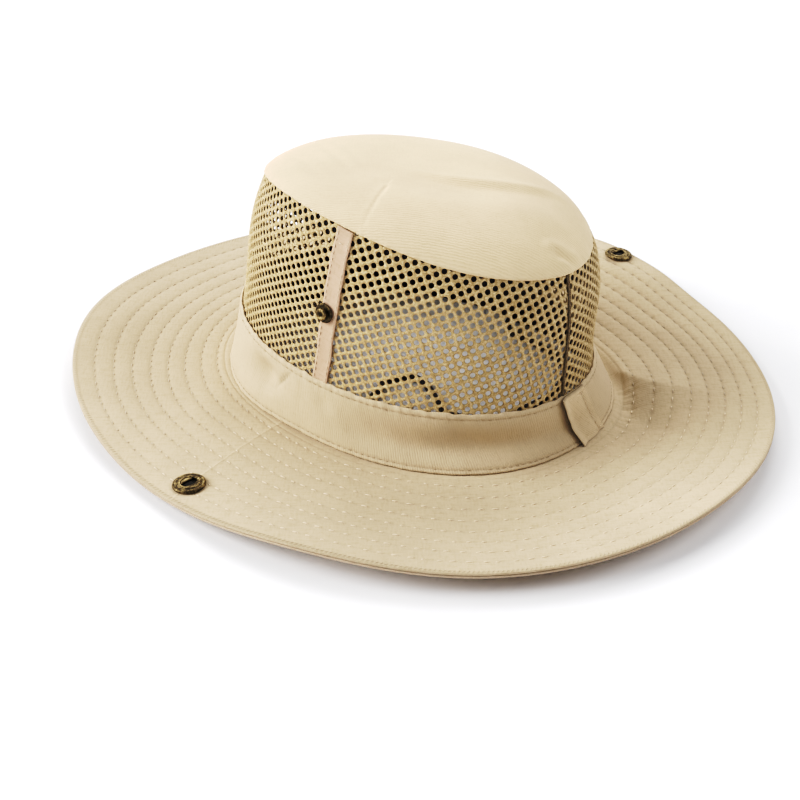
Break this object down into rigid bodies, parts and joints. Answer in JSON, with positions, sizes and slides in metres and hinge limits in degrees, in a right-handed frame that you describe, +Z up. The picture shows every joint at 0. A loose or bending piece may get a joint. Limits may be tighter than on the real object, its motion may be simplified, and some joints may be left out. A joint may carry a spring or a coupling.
{
  "type": "boonie hat",
  "caption": "Wide-brimmed sun hat with a domed cotton tip, a mesh crown wall, side brims that fold up and snap to the crown, and a chin cord with a sliding lock.",
  "frame": {"origin": "on the floor under the middle of the brim's outline", "axes": "+Z up through the crown, -Y to the front of the hat, +X to the wearer's left"},
  "size_m": [0.3404, 0.3906, 0.1261],
  "materials": {
    "khaki_cotton": "matte cotton twill",
    "tan_mesh": "open knitted net",
    "white_interlining": "stiff woven interlining",
    "dark_sweatband": "matte tape",
    "antique_brass": "darkened, worn bright on the edges",
    "dark_cord": "braided cord",
    "dark_plastic": "fine moulded grain",
    "spring_steel": "bright wire"
  },
  "bodies": {
    "hat": {"crown_tip": "khaki_cotton", "tip_seam_tape": "dark_sweatband", "mesh_wall": "tan_mesh", "mesh_back_seam": "tan_mesh", "left_side_strip": "khaki_cotton", "right_side_strip": "khaki_cotton", "hat_band": "khaki_cotton", "band_lap": "khaki_cotton", "sweatband": "dark_sweatband", "brim_upper_front": "khaki_cotton", "brim_upper_back": "khaki_cotton", "brim_under_front": "khaki_cotton", "brim_under_back": "khaki_cotton", "brim_interlining": "white_interlining", "left_snap_stud": "antique_brass", "left_stud_eyelet": "antique_brass", "right_snap_stud": "antique_brass", "right_stud_eyelet": "antique_brass", "chin_cord": "dark_cord", "left_cord_tab": "dark_cord", "right_cord_tab": "dark_cord"},
    "left_flap": {"left_flap_upper_front": "khaki_cotton", "left_flap_upper_back": "khaki_cotton", "left_flap_under_front": "khaki_cotton", "left_flap_under_back": "khaki_cotton", "left_flap_interlining": "white_interlining", "left_snap_socket": "antique_brass", "left_snap_spring": "antique_brass", "left_snap_cap": "antique_brass"},
    "right_flap": {"right_flap_upper_front": "khaki_cotton", "right_flap_upper_back": "khaki_cotton", "right_flap_under_front": "khaki_cotton", "right_flap_under_back": "khaki_cotton", "right_flap_interlining": "white_interlining", "right_snap_socket": "antique_brass", "right_snap_spring": "antique_brass", "right_snap_cap": "antique_brass"},
    "cord_lock": {"cord_lock_body": "dark_plastic", "cord_lock_spring": "spring_steel"},
    "cord_lock_button": {"cord_lock_button": "dark_plastic"}
  },
  "joints": [
    {"name": "left_brim_fold", "type": "hinge", "parent": "hat", "child": "left_flap", "pos_m": [0.09037, -0.01431, 0.012], "axis": [-0.1564, -0.9877, 0], "range_deg": [0, 103]},
    {"name": "right_brim_fold", "type": "hinge", "parent": "hat", "child": "right_flap", "pos_m": [-0.0915, 0, 0.012], "axis": [0, 1, 0], "range_deg": [0, 85]},
    {"name": "cord_lock_slide", "type": "slide", "parent": "hat", "child": "cord_lock", "axis": [0.7071, -0.7071, 0], "range_m": [-0.01, 0.01]},
    {"name": "cord_lock_press", "type": "slide", "parent": "cord_lock", "child": "cord_lock_button", "axis": [-0.7071, -0.7071, 0], "range_m": [0, 0.0034], "stiffness_N_per_m": 400, "springref_m": -0.004}
  ]
}
